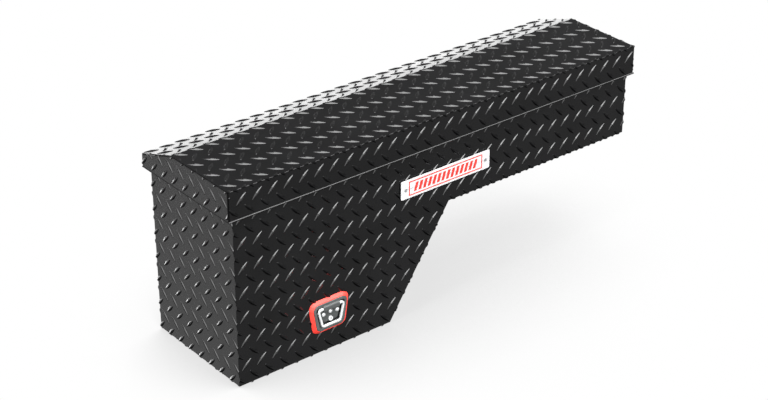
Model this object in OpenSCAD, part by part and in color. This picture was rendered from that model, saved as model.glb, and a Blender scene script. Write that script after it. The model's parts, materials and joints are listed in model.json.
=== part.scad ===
// Side-mounted truck tool box with a raised section that clears the wheel housing.
// Frame: +X along the box towards its shallow end, +Y towards the hinge at the back, +Z up.
// Origin: centre of the overall bounding box, at the level of the deep floor's underside.

/* [Box body] */
// Length of the body, without the lid's overhang
body_l = 894.4; // [860:0.1:950]
// Depth of the body, front to back
body_w = 245.4; // [240:0.1:252]
// Length of the deep section at its floor
deep_l = 329.4; // [305:0.1:340]
// Length that the slope covers between deep and shallow floor
slope_l = 133; // [120:1:145]
// Height of the shallow section's underside
shallow_z = 200.6; // [190:0.1:210]
// Thickness of the tread plate over its raised lugs
plate_t = 4.2; // [3.6:0.1:4.3]

/* [Lid] */
// Height of the lid's lower edge
lid_z = 323.2; // [318:0.1:327]
// Height of the lid's flat top
lid_top_z = 381.8; // [380:0.1:384]
// Height of the lid's back edge, below the bevel
lid_back_z = 349.3; // [348:0.1:351]
// Distance of the bevel's crease behind the body's front face
crease_y = 160.6; // [155:0.1:166]
// Overhang of the lid beyond each end of the body
lid_end_over = 11.6; // [10:0.1:13]
// Overhang of the lid beyond the body's front
lid_front_over = 6.9; // [6.5:0.1:8]
// Overhang of the lid beyond the body's back
lid_back_over = 9; // [8.5:0.1:10]

/* [Rim and seal] */
// Drop from the lid's outer face down to the rim of the body
rim_drop = 11; // [10.5:0.1:12]
// Width of the rim's inward lip along the front and the ends
lip_w = 22; // [20:1:24]
// Width of the rim's inward lip along the back
back_lip_w = 16; // [14:1:17]
// Width of the rubber seal that lies on the lip
seal_w = 8; // [6:1:9]
// Free gap between the seal and the underside of the lid
seal_gap = 0.4; // [0.3:0.1:0.6]

/* [Hinge] */
// Distance of the hinge pin behind the body's back face
hinge_back = 3.6; // [3.4:0.1:3.8]
// Height of the hinge pin
hinge_z = 339.8; // [339:0.1:340.5]
// Radius of the hinge knuckles
knuckle_r = 2.9; // [2.7:0.1:3]
// Radius of the hinge pin
hinge_pin_r = 1.5; // [1.3:0.1:1.6]
// Number of knuckles along the hinge
knuckles = 20; // [12:2:24]

/* [Lock] */
// Distance of the lock's centre from the left end of the body
lock_x = 192.2; // [182:0.1:202]
// Height of the lock's centre
lock_z = 74.7; // [70:0.1:79]
// How far the lock stands out of the body's front
lock_proud = 7.8; // [7.5:0.1:8.5]
// Running clearance between each shaft and its hole
run_gap = 0.05; // [0.02:0.01:0.1]

/* [Gas spring] */
// Depth position of the lower stud, from the body's front face
stay_low_y = 218.4; // [217:0.1:220]
// Height of the lower stud
stay_low_z = 203.8; // [202:0.1:206]
// Depth position of the upper stud with the lid shut
stay_high_y = 207.4; // [206:0.1:209]
// Height of the upper stud with the lid shut
stay_high_z = 325.8; // [324:0.1:328]
// Distance of the gas spring's centre line from the left end of the body
stay_x = 40; // [38:1:42]

/* [Hidden] */
$fn = 48;
eps = 0.01;

slope_x = deep_l + slope_l;
slope_angle = atan(shallow_z / slope_l);
lid_back_y = body_w + lid_back_over;
bevel_angle = atan((lid_top_z - lid_back_z) / (lid_back_y - crease_y));
mid_x = body_l / 2;
mid_y = (lid_back_y - lock_proud) / 2;
inner_w = body_w - 2 * plate_t;
inner_back = body_w - plate_t;

hinge_y = body_w + hinge_back;
hinge_margin = 15;
knuckle_l = (body_l - 2 * hinge_margin) / knuckles;
knuckle_gap = 0.4;
leaf_t = 1.5;
leaf_drop = 26;

latch_x = lock_x + 5;
latch_y = 27;
latch_z = 326.4;
latch_open = 25;
hook_t = 5;
striker_y = latch_y + 14;
striker_z = latch_z + 21;
striker_r = 3;
tail_r = 12;

rod_x = latch_x + 6;
rod_y = 15.5;
rod_r = 2.5;
link_z = latch_z - 16;

// Outlines of the lock's pieces: width at the top, width at the bottom, height, corner radius
bezel_edge = [88.4, 70, 65.6, 14];
bezel_step = [81, 63, 58.6, 11.5];
bezel_recess = [74.8, 58.1, 53.6, 10.3];
lock_hole = [66.5, 50, 46, 7];
frame_flange = [74.2, 57.5, 53, 10];
frame_collar = [66, 49.5, 45.5, 6.5];
frame_opening = [62, 45.5, 41.2, 5];
pan_edge = [87, 69, 66, 12];
bail_edge = [59.9, 43, 39.4, 7];
face_edge = [45, 31, 24, 5];
visor = [34, 10];
visor_z = 12.2;

handle_y = -3.2;
handle_z = lock_z + 16.3;
handle_bar_r = 2.6;
handle_bar = 5;
tab_reach = 20;
key_z = lock_z - 7.9;
key_r = 4.3;

stay_dy = stay_high_y - stay_low_y;
stay_dz = stay_high_z - stay_low_z;
stay_l = sqrt(stay_dy * stay_dy + stay_dz * stay_dz);
stay_tilt = atan2(-stay_dy, stay_dz);
stay_r = 9;
stay_bore_r = 7.5;
stay_rod_r = 4;
stay_plate_x = 24;

badge_x = [349.2, 551.7];
badge_z = [241, 276.8];
badge_t = 1.2;

bolt_r = 4.5;
floor_bolts_x = 230;
floor_bolts_y = 150;
floor_bolts_at = 165;
rail_bolts_x = 650;
rail_bolts_z = 289;
rail_bolts_at = 447.2;

// The crease, and the height at a depth, of a sheet's face that lies a drop inside the lid's outer face
function below_lid(drop) = [
    crease_y - drop * tan(bevel_angle / 2),
    lid_top_z - drop
];
function under_lid(y, drop) =
    y < below_lid(drop)[0] ? lid_top_z - drop
    : lid_top_z - drop - (y - below_lid(drop)[0]) * tan(bevel_angle);

// A convex outline with each corner rounded to radius r by an arc of n steps
function unit(v) = v / norm(v);
function corner_arc(a, b, c, r, n) =
    let (
        u = unit(a - b),
        v = unit(c - b),
        half = acos(u * v) / 2,
        centre = b + unit(u + v) * r / sin(half),
        from = b + u * r / tan(half) - centre,
        to = b + v * r / tan(half) - centre,
        start = atan2(from[1], from[0]),
        turn = atan2(to[1], to[0]) - start,
        sweep = turn > 180 ? turn - 360 : turn < -180 ? turn + 360 : turn
    )
    [for (k = [0 : n]) centre + r * [cos(start + sweep * k / n), sin(start + sweep * k / n)]];
function rounded(p, r, n = 5) = [
    for (i = [0 : len(p) - 1])
        each corner_arc(p[(i + len(p) - 1) % len(p)], p[i], p[(i + 1) % len(p)], r, n)
];
function taper(top, bottom, high) = [
    [-bottom / 2, -high / 2], [bottom / 2, -high / 2], [top / 2, high / 2], [-top / 2, high / 2]
];

module frame() {
    translate([-mid_x, -mid_y, 0]) children();
}
// A drawing in X and Z, made solid from depth y0 over thickness t
module upright(y0, t) {
    translate([0, y0 + t, 0]) rotate([90, 0, 0]) linear_extrude(t) children();
}
// A drawing in Y and Z, made solid from x0 over length l
module along(x0, l) {
    translate([x0, 0, 0]) rotate([90, 0, 90]) linear_extrude(l) children();
}
module rod_along(x0, l, y, z, r) {
    translate([x0, y, z]) rotate([0, 90, 0]) cylinder(h = l, r = r);
}
module pin_back(x, y0, l, z, r) {
    translate([x, y0, z]) rotate([-90, 0, 0]) cylinder(h = l, r = r);
}
module at_lock() {
    translate([lock_x, 0, lock_z]) children();
}
module lock_outline(size) {
    polygon(rounded(taper(size[0], size[1], size[2]), size[3]));
}

// ---- Box body ----
module side_outline(top) {
    polygon([
        [0, 0], [deep_l, 0], [slope_x, shallow_z], [body_l, shallow_z], [body_l, top], [0, top]
    ]);
}
module stud_places() {
    for (side = [-1, 1]) {
        translate([side * 37, 0, 25]) children();
        translate([side * 29.5, 0, -27]) children();
    }
}
module front_panel() {
    rim = under_lid(0, rim_drop);
    color("#2a2a2c") frame() {
        difference() {
            union() {
                upright(0, plate_t) side_outline(rim);
                translate([0, 0, rim - plate_t]) cube([body_l, lip_w, plate_t]);
            }
            at_lock() {
                upright(-1, plate_t + 2) lock_outline(lock_hole);
                stud_places() pin_back(0, -1, plate_t + 2, 0, 2.8);
            }
            for (x = badge_holes()) pin_back(x, -1, plate_t + 2, badge_mid(), 1.7);
        }
    }
}
module back_panel() {
    low = plate_t / cos(bevel_angle);
    edge = body_w - back_lip_w;
    wall_top = under_lid(inner_back, rim_drop) - low;
    color("#2a2a2c") frame() difference() {
        union() {
            upright(inner_back, plate_t) side_outline(wall_top);
            along(0, body_l) polygon([
                [edge, under_lid(edge, rim_drop) - low], [inner_back, wall_top], [body_w, wall_top],
                [body_w, under_lid(body_w, rim_drop)], [edge, under_lid(edge, rim_drop)]
            ]);
        }
        for (side = [-1, 1]) {
            x = rail_bolts_at + side * rail_bolts_x / 2;
            pin_back(x, inner_back - 1, plate_t + 2, rail_bolts_z, bolt_r);
        }
        for (x = hinge_rivet_places()) pin_back(x, inner_back - 1, plate_t + 2, hinge_rivet_z(), 1.7);
    }
}
module end_profile(base) {
    back = body_w - back_lip_w;
    low = plate_t / cos(bevel_angle);
    rim = under_lid(0, rim_drop);
    polygon([
        [plate_t, base], [inner_back, base], [inner_back, under_lid(inner_back, rim_drop) - low],
        [back, under_lid(back, rim_drop) - low], [back, under_lid(back, rim_drop)],
        below_lid(rim_drop), [lip_w, rim], [lip_w, rim - plate_t], [plate_t, rim - plate_t]
    ]);
}
module end_lip() {
    back = body_w - back_lip_w;
    low = plate_t / cos(bevel_angle);
    polygon([
        [lip_w, lid_top_z - rim_drop - plate_t], below_lid(rim_drop + plate_t),
        [back, under_lid(back, rim_drop) - low], [back, under_lid(back, rim_drop)],
        below_lid(rim_drop), [lip_w, lid_top_z - rim_drop]
    ]);
}
module left_end_panel() {
    color("#333336") frame() {
        along(0, plate_t) end_profile(0);
        along(0, lip_w) end_lip();
    }
}
module right_end_panel() {
    color("#333336") frame() {
        along(body_l - plate_t, plate_t) end_profile(shallow_z);
        along(body_l - lip_w, lip_w) end_lip();
    }
}
module floor_strip() {
    bend = plate_t * tan(slope_angle / 2);
    color("#2a2a2c") frame() difference() {
        upright(plate_t, inner_w) polygon([
            [plate_t, 0], [deep_l, 0], [slope_x, shallow_z], [body_l - plate_t, shallow_z],
            [body_l - plate_t, shallow_z + plate_t], [slope_x - bend, shallow_z + plate_t],
            [deep_l - bend, plate_t], [plate_t, plate_t]
        ]);
        for (sx = [-1, 1], sy = [-1, 1]) {
            translate([
                floor_bolts_at + sx * floor_bolts_x / 2, body_w / 2 + sy * floor_bolts_y / 2, -1
            ]) cylinder(h = plate_t + 2, r = bolt_r);
        }
    }
}
// One closed loop of rubber that follows the rim, with its top just under the lid
module rim_seal() {
    inset = lip_w - seal_w - 4;
    top_drop = plate_t + seal_gap;
    back_edge = body_w - back_lip_w + 2;
    color("#161616") frame() {
        for (x = [inset, body_l - inset - seal_w]) along(x, seal_w) polygon([
            [inset, under_lid(inset, rim_drop)], below_lid(rim_drop),
            [back_edge + seal_w, under_lid(back_edge + seal_w, rim_drop)],
            [back_edge + seal_w, under_lid(back_edge + seal_w, top_drop)],
            below_lid(top_drop), [inset, under_lid(inset, top_drop)]
        ]);
        along(inset, body_l - 2 * inset) polygon([
            [inset, under_lid(0, rim_drop)], [inset + seal_w, under_lid(0, rim_drop)],
            [inset + seal_w, under_lid(0, top_drop)], [inset, under_lid(0, top_drop)]
        ]);
        along(inset, body_l - 2 * inset) polygon([
            [back_edge, under_lid(back_edge, rim_drop)],
            [back_edge + seal_w, under_lid(back_edge + seal_w, rim_drop)],
            [back_edge + seal_w, under_lid(back_edge + seal_w, top_drop)],
            [back_edge, under_lid(back_edge, top_drop)]
        ]);
    }
}

// ---- Badge ----
function badge_holes() = [badge_x[0] + 10, badge_x[1] - 10];
function badge_mid() = (badge_z[0] + badge_z[1]) / 2;
module badge_plate() {
    color("#e9e9ec") frame() difference() {
        upright(-badge_t, badge_t) polygon(rounded([
            [badge_x[0], badge_z[0]], [badge_x[1], badge_z[0]],
            [badge_x[1], badge_z[1]], [badge_x[0], badge_z[1]]
        ], 3));
        for (x = badge_holes()) pin_back(x, -badge_t - 1, badge_t + 2, badge_mid(), 1.7);
    }
}
module badge_rivets() {
    color("#b9bbbe") frame() for (x = badge_holes()) {
        pin_back(x, -badge_t - 0.9, 0.9, badge_mid(), 3);
        pin_back(x, -badge_t - eps, badge_t + plate_t + 1, badge_mid(), 1.65);
        pin_back(x, plate_t, 2.5, badge_mid(), 2.6);
    }
}

// ---- Lock ----
module lock_bezel() {
    color("#f2564c") frame() at_lock() {
        difference() {
            union() {
                upright(-1, 1) lock_outline(bezel_edge);
                upright(-1.8, 1) lock_outline(bezel_step);
            }
            upright(-3, 2.2) lock_outline(bezel_recess);
            upright(-3, 4) lock_outline(lock_hole);
        }
        stud_places() pin_back(0, -eps, 13, 0, 2.5);
    }
}
module lock_frame() {
    color("#6b6e6f") frame() at_lock() {
        difference() {
            union() {
                upright(-2.5, 1.7) lock_outline(frame_flange);
                upright(-1, 7) lock_outline(frame_collar);
            }
            upright(-6, 13) lock_outline(frame_opening);
        }
        difference() {
            translate([-visor[0] / 2, -lock_proud, visor_z]) cube([visor[0], lock_proud - 0.8, visor[1]]);
            rod_along(-18, 36, handle_y, handle_z - lock_z, handle_bar_r + run_gap);
            translate([-18, handle_y - handle_bar_r - run_gap, handle_z - lock_z - 6])
                cube([36, 2 * (handle_bar_r + run_gap), 6]);
            translate([-7, handle_y, handle_z - lock_z - 8]) cube([14, 10, 10]);
        }
    }
}
module lock_pan() {
    color("#1d1e20") frame() at_lock() difference() {
        union() {
            difference() {
                upright(plate_t, 2.5) lock_outline(pan_edge);
                upright(plate_t - 1, 4.5) lock_outline(lock_hole);
            }
            upright(6, 2) lock_outline(pan_edge);
        }
        stud_places() pin_back(0, 2, 8, 0, 2.8);
        upright(5, 4) translate([-7, 7.5]) square([14, 11.5]);
        pin_back(0, 5, 4, key_z - lock_z, 6.55);
        face_screw_places() pin_back(0, 5, 4, 0, 1.8);
    }
}
module face_screw_places() {
    translate([-14.7, 0, 4]) children();
    translate([0, 0, 6.3]) children();
    translate([14.7, 0, 4]) children();
}
module lock_face_plate() {
    color("#77797a") frame() at_lock() difference() {
        union() {
            upright(-2, 2) lock_outline(face_edge);
            face_screw_places() pin_back(0, -0.1, 6.1, 0, 2.4);
        }
        pin_back(0, -5, 6, key_z - lock_z, key_r + 0.3);
        face_screw_places() pin_back(0, -5, 12, 0, 1.5);
    }
}
module lock_face_screws() {
    color("#e8e8ea") frame() at_lock() face_screw_places() {
        pin_back(0, -4.3, 2.3, 0, 3.6);
        pin_back(0, -2.1, 11.1, 0, 1.45);
    }
}
module bezel_nuts() {
    color("#c6c8cb") frame() at_lock() stud_places() difference() {
        translate([0, 8, 0]) rotate([-90, 0, 0]) cylinder(h = 4, r = 4.6, $fn = 6);
        pin_back(0, 7, 6, 0, 2.5);
    }
}
module key_barrel() {
    color("#9a9c9f") frame() difference() {
        union() {
            pin_back(lock_x, 0.2, 19.8, key_z, 6.4);
            pin_back(lock_x, 8, 3, key_z, 8.5);
        }
        pin_back(lock_x, -1, 22, key_z, key_r + run_gap);
    }
}
module key_plug() {
    color("#e8e8ea") frame() difference() {
        pin_back(lock_x, -4.1, 26.4, key_z, key_r);
        translate([lock_x - 0.6, -5, key_z - 2.8]) cube([1.2, 4, 5.6]);
    }
}
module key_cam() {
    color("#8d9093") frame() difference() {
        union() {
            pin_back(lock_x, 20.3, 2, key_z, 6.5);
            translate([lock_x - 20, 20.3, key_z - 4]) cube([20, 2, 8]);
        }
        pin_back(lock_x, 19, 5, key_z, key_r);
    }
}
// A bail with a round top bar that turns in the frame, and a tab that reaches into the box
module pull_handle() {
    color("#f4f4f5") frame() at_lock() {
        difference() {
            upright(handle_y - 3.5, 3.5) lock_outline(bail_edge);
            upright(-9, 7) lock_outline([
                bail_edge[0] - 2 * handle_bar, bail_edge[1] - 2 * handle_bar,
                bail_edge[2] - 2 * handle_bar, 3
            ]);
            translate([-18, -10, 8]) cube([36, 8, 14]);
        }
        rod_along(-24, 48, handle_y, handle_z - lock_z, handle_bar_r);
        translate([-5, handle_y, handle_z - lock_z - 1.2]) cube([10, tab_reach, 2.4]);
    }
}
// Return spring of the handle: a close coil beside the tab
module handle_spring() {
    color("#b7b9bc") frame() translate([lock_x - 14, 11.6, handle_z + 6]) rotate([0, 90, 0])
        difference() {
            cylinder(h = 8, r = 3.6);
            translate([0, 0, -1]) cylinder(h = 10, r = 2.4);
        }
}

// ---- Latch at the rim ----
module latch_rod() {
    foot_z = handle_z - 1.2 - 0.4 - 2.5;
    color("#aeb1b4") frame() {
        translate([rod_x, rod_y, foot_z]) cylinder(h = link_z - foot_z, r = rod_r);
        translate([lock_x - 4, rod_y - 5.5, foot_z]) cube([rod_x - lock_x + 6.5, 8, 2.5]);
    }
}
// The slotted plate at the rod's top that holds the hook's pin
module rod_link() {
    color("#9da0a4") frame() difference() {
        translate([rod_x - 1, rod_y - 6, link_z]) cube([2, 13, 34]);
        translate([rod_x - 2, rod_y - 3, link_z + 7.5]) cube([4, 6.4, 21.5]);
    }
}
module rod_guide() {
    color("#d9d9d4") frame() difference() {
        translate([rod_x - 7, plate_t, 204]) cube([14, 17, 12]);
        translate([rod_x, rod_y, 203]) cylinder(h = 14, r = rod_r + run_gap);
    }
}
module latch_bracket() {
    color("#b7b9bc") frame() difference() {
        union() {
            translate([latch_x - 13.5, plate_t, latch_z - 16]) cube([27, 2, 34]);
            for (x = [latch_x - 13.5, latch_x + 11.5]) {
                translate([x, plate_t, latch_z - 10]) cube([2, latch_y + 4, 20]);
            }
        }
        rod_along(latch_x - 15, 30, latch_y, latch_z, 3);
    }
}
module latch_pivot_pin() {
    color("#d0d2d4") frame() {
        rod_along(latch_x - 15, 30, latch_y, latch_z, 2.99);
        rod_along(latch_x - 15.5, 2, latch_y, latch_z, 4.6);
        rod_along(latch_x + 13.5, 2, latch_y, latch_z, 4.6);
    }
}
module latch_spring() {
    color("#c9cbce") frame() difference() {
        rod_along(latch_x - 10.5, 7, latch_y, latch_z, 5.2);
        rod_along(latch_x - 12, 10, latch_y, latch_z, 3.6);
    }
}
// The hook is drawn swung clear of the striker
module latch_hook() {
    color("#c2c4c7") frame() translate([latch_x - hook_t / 2, latch_y, latch_z])
        rotate([latch_open, 0, 0]) difference() {
            along(0, hook_t) polygon([
                [-tail_r - 4, -3], [-tail_r, -4.5], [0, -8], [6, -6], [8.5, 3], [9, 24.6], [20, 24.6],
                [20, 27.5], [11, 32.5], [-3, 32.5], [-4, 8], [-tail_r, 4.5], [-tail_r - 4, 3]
            ]);
            rod_along(-1, hook_t + 2, 0, 0, 3 + run_gap);
        }
}
module hook_pin() {
    color("#d0d2d4") frame() translate([latch_x + hook_t / 2, latch_y, latch_z])
        rotate([latch_open, 0, 0]) rod_along(0, 5, -tail_r, 0, 2);
}
module striker_plate() {
    color("#b7b9bc") frame() translate([latch_x - 18, striker_y - 9, lid_top_z - plate_t - 2])
        cube([36, 18, 2]);
}
module striker_bar() {
    top = lid_top_z - plate_t - 2;
    color("#d6d8da") frame() {
        for (side = [-1, 1]) {
            translate([latch_x + side * 10, striker_y, striker_z])
                cylinder(h = top - striker_z, r = striker_r);
            translate([latch_x + side * 10, striker_y, striker_z]) sphere(r = striker_r);
        }
        rod_along(latch_x - 10, 20, striker_y, striker_z, striker_r);
    }
}

// ---- Lid ----
module along_lid() {
    along(-lid_end_over + plate_t, body_l + 2 * (lid_end_over - plate_t)) children();
}
module lid_skin() {
    inner_y = lid_back_y - plate_t;
    color("#2c2c2e") frame() along_lid() polygon([
        [-lid_front_over, lid_z], [-lid_front_over, lid_top_z], [crease_y, lid_top_z],
        [lid_back_y, lid_back_z], [inner_y, under_lid(inner_y, plate_t)], below_lid(plate_t),
        [-lid_front_over + plate_t, lid_top_z - plate_t], [-lid_front_over + plate_t, lid_z]
    ]);
}
module lid_back_flange() {
    low = hinge_z + knuckle_r + 0.6;
    inner_y = lid_back_y - plate_t;
    color("#2c2c2e") frame() along_lid() polygon([
        [lid_back_y, lid_back_z], [lid_back_y, low], [inner_y, low],
        [inner_y, under_lid(inner_y, plate_t)]
    ]);
}
module lid_cap(x) {
    color("#38383b") frame() along(x, plate_t) polygon([
        [-lid_front_over, lid_z], [lid_back_y, lid_z], [lid_back_y, lid_back_z],
        [crease_y, lid_top_z], [-lid_front_over, lid_top_z]
    ]);
}
module lid_left_cap() {
    lid_cap(-lid_end_over);
}
module lid_right_cap() {
    lid_cap(body_l + lid_end_over - plate_t);
}
// A chamfered flat bar under the flat of the lid
module lid_stiffener() {
    top = lid_top_z - plate_t;
    color("#8b8d90") frame() along(60, body_l - 120) polygon([
        [76, top], [76, top - 2], [79, top - 5], [121, top - 5], [124, top - 2], [124, top]
    ]);
}

// ---- Hinge ----
function hinge_rivet_places() = [for (k = [1 : 2 : knuckles - 1]) hinge_margin + knuckle_l * k];
function hinge_rivet_z() = hinge_z - 16;
module knuckle_row(first) {
    for (k = [first : 2 : knuckles - 1]) {
        start = hinge_margin + k * knuckle_l + knuckle_gap / 2;
        rod_along(start, knuckle_l - knuckle_gap, hinge_y, hinge_z, knuckle_r);
    }
}
module pin_bore() {
    rod_along(hinge_margin - 1, body_l - 2 * hinge_margin + 2, hinge_y, hinge_z, hinge_pin_r + run_gap);
}
module hinge_body_leaf() {
    color("#3a3b3d") frame() difference() {
        union() {
            translate([hinge_margin, body_w, hinge_z - leaf_drop])
                cube([body_l - 2 * hinge_margin, leaf_t, leaf_drop - knuckle_r - 0.5]);
            for (k = [0 : 2 : knuckles - 1]) {
                translate([hinge_margin + k * knuckle_l + knuckle_gap / 2, body_w, hinge_z - knuckle_r - 1])
                    cube([knuckle_l - knuckle_gap, leaf_t, knuckle_r + 1]);
            }
            knuckle_row(0);
        }
        pin_bore();
        for (x = hinge_rivet_places()) pin_back(x, body_w - 1, 4, hinge_rivet_z(), 1.7);
    }
}
module hinge_lid_leaf() {
    inner_y = lid_back_y - plate_t;
    fold = leaf_t / cos(bevel_angle);
    front = body_w - 4;
    color("#3a3b3d") frame() difference() {
        union() {
            along(hinge_margin, body_l - 2 * hinge_margin) polygon([
                [inner_y, hinge_z + knuckle_r + 0.6], [inner_y, under_lid(inner_y, plate_t)],
                [front, under_lid(front, plate_t)], [front, under_lid(front, plate_t) - fold],
                [inner_y - leaf_t, under_lid(inner_y - leaf_t, plate_t) - fold],
                [inner_y - leaf_t, hinge_z + knuckle_r + 0.6]
            ]);
            for (k = [1 : 2 : knuckles - 1]) {
                translate([hinge_margin + k * knuckle_l + knuckle_gap / 2, inner_y - leaf_t, hinge_z])
                    cube([knuckle_l - knuckle_gap, leaf_t, knuckle_r + 1]);
            }
            knuckle_row(1);
        }
        pin_bore();
    }
}
module hinge_pin() {
    color("#c6c8cb") frame() rod_along(
        hinge_margin - 0.5, body_l - 2 * hinge_margin + 1, hinge_y, hinge_z, hinge_pin_r
    );
}
module hinge_rivets() {
    color("#b9bbbe") frame() for (x = hinge_rivet_places()) {
        pin_back(x, body_w + leaf_t, 1, hinge_rivet_z(), 3.2);
        pin_back(x, inner_back - 2, plate_t + 2 + leaf_t + eps, hinge_rivet_z(), 1.65);
        pin_back(x, inner_back - 2.2, 2.2, hinge_rivet_z(), 2.6);
    }
}

// ---- Gas spring ----
module at_stay() {
    translate([stay_x, stay_low_y, stay_low_z]) rotate([stay_tilt, 0, 0]) children();
}
module stay_low_bracket() {
    color("#b7b9bc") frame() {
        translate([plate_t, stay_low_y - 14, stay_low_z - 20]) cube([2.5, 28, 40]);
        rod_along(plate_t + 2, stay_x - 8 - plate_t - 2, stay_low_y, stay_low_z, 8);
    }
}
module stay_low_stud() {
    color("#d0d2d4") frame() {
        rod_along(stay_x - 8, 16, stay_low_y, stay_low_z, 4);
        rod_along(stay_x + 7.8, 2, stay_low_y, stay_low_z, 5.5);
    }
}
module socket(y) {
    difference() {
        union() {
            rod_along(-7, 14, 0, y, 8);
            translate([0, 0, y]) children();
        }
        rod_along(-8, 16, 0, y, 4 + run_gap);
    }
}
module stay_low_socket() {
    color("#1f1f21") frame() at_stay() socket(0) cylinder(h = 14, r = 6);
}
module stay_tube() {
    color("#232325") frame() at_stay() difference() {
        translate([0, 0, 14]) cylinder(h = 88, r = stay_r);
        translate([0, 0, 18]) cylinder(h = 90, r = stay_bore_r);
    }
}
module stay_guide() {
    color("#3a3b3d") frame() at_stay() difference() {
        union() {
            translate([0, 0, 92]) cylinder(h = 10, r = stay_bore_r);
            translate([0, 0, 102]) cylinder(h = 2, r = stay_r);
        }
        translate([0, 0, 90]) cylinder(h = 16, r = stay_rod_r + run_gap);
    }
}
module stay_rod() {
    color("#d9dadc") frame() at_stay() translate([0, 0, 26]) cylinder(h = stay_l - 26 - 10, r = stay_rod_r);
}
module stay_piston() {
    color("#c79a4a") frame() at_stay() difference() {
        translate([0, 0, 27]) cylinder(h = 8, r = stay_bore_r - 0.08);
        translate([0, 0, 20]) cylinder(h = 30, r = stay_rod_r);
    }
}
module stay_high_socket() {
    color("#1f1f21") frame() at_stay() socket(stay_l) translate([0, 0, -13]) difference() {
        cylinder(h = 13, r = 5.5);
        translate([0, 0, -1]) cylinder(h = 4, r = stay_rod_r);
    }
}
module stay_high_stud() {
    color("#d0d2d4") frame() {
        rod_along(stay_plate_x + 3.3, stay_x + 8 - stay_plate_x - 3.3, stay_high_y, stay_high_z, 3.99);
        rod_along(stay_plate_x + 3.3, 3, stay_high_y, stay_high_z, 7);
        rod_along(stay_x + 7.8, 2, stay_high_y, stay_high_z, 5.5);
    }
}
module stay_high_bracket() {
    front = stay_high_y - 25;
    back = stay_high_y + 18;
    fold = 2.5 / cos(bevel_angle);
    color("#b7b9bc") frame() {
        along(stay_plate_x, 3) polygon([
            [stay_high_y - 12, stay_high_z - 12], [stay_high_y + 12, stay_high_z - 12],
            [back, under_lid(back, plate_t)], [front, under_lid(front, plate_t)]
        ]);
        along(stay_plate_x, 24) polygon([
            [front, under_lid(front, plate_t)], [front, under_lid(front, plate_t) - fold],
            [back, under_lid(back, plate_t) - fold], [back, under_lid(back, plate_t)]
        ]);
    }
}

front_panel();
back_panel();
left_end_panel();
right_end_panel();
floor_strip();
rim_seal();
badge_plate();
badge_rivets();
lock_bezel();
lock_frame();
lock_pan();
lock_face_plate();
lock_face_screws();
bezel_nuts();
key_barrel();
handle_spring();
rod_guide();
latch_bracket();
latch_pivot_pin();
latch_spring();
hinge_body_leaf();
hinge_pin();
hinge_rivets();
stay_low_bracket();
stay_low_stud();
pull_handle();
key_plug();
key_cam();
latch_rod();
rod_link();
latch_hook();
hook_pin();
stay_tube();
stay_guide();
stay_low_socket();
stay_rod();
stay_piston();
stay_high_socket();
stay_high_stud();
lid_skin();
lid_back_flange();
lid_left_cap();
lid_right_cap();
lid_stiffener();
striker_plate();
striker_bar();
hinge_lid_leaf();
stay_high_bracket();
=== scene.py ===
"""Looks of the wheel-well truck tool box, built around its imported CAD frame.

Metres throughout, in the CAD's frame: +X along the box, +Y to the hinge side, +Z up.
"""
import json
import math

import bmesh
import bpy
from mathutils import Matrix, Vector

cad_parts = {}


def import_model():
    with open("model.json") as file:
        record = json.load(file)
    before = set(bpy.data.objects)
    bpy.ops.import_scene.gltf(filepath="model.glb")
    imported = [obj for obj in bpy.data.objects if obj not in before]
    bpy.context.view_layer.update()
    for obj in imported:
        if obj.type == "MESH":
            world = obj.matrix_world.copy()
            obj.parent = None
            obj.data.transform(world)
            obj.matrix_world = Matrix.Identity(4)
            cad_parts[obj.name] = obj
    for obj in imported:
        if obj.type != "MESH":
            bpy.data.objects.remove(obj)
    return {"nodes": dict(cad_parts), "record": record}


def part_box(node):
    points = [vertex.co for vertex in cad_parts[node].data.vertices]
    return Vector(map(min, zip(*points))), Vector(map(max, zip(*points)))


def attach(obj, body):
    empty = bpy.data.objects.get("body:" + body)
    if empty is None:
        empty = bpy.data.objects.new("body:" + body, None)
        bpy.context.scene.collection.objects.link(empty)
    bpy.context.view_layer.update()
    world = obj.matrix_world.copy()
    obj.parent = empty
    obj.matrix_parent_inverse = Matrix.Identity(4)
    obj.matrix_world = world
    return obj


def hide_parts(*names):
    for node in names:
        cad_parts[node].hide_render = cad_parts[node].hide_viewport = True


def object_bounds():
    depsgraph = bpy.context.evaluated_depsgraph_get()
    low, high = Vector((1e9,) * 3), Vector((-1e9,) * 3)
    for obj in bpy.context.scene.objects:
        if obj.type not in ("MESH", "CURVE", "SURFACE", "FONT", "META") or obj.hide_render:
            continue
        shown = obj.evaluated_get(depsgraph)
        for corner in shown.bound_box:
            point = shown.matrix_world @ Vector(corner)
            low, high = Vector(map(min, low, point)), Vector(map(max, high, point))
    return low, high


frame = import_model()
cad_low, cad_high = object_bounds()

MM = 0.001
X, Y, Z = Vector((1, 0, 0)), Vector((0, 1, 0)), Vector((0, 0, 1))
scene = bpy.context.scene

# ---------------------------------------------------------------- frame measures

# A CAD vertex this close to a plane lies in it
TOUCH = 0.05 * MM


def furthest(node, score, near):
    """The vertex of a CAD node with the highest score among those that near accepts."""
    points = [v.co.copy() for v in frame["nodes"][node].data.vertices]
    return max((p for p in points if near(p)), key=score)


front_low, front_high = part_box("front_panel")
back_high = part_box("back_panel")[1]
body_left, body_right = front_low.x, front_high.x
body_front, body_back = front_low.y, back_high.y
body_length, body_depth = body_right - body_left, body_back - body_front
shallow_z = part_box("right_end_panel")[0].z
deep_end = furthest("floor_strip", lambda p: p.x, lambda p: p.z < TOUCH)
slope_end = furthest("floor_strip", lambda p: -p.x, lambda p: abs(p.z - shallow_z) < TOUCH)
slope = Vector((slope_end.x - deep_end.x, 0, slope_end.z - deep_end.z)).normalized()
slope_out = Vector((slope.z, 0, -slope.x))

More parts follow.
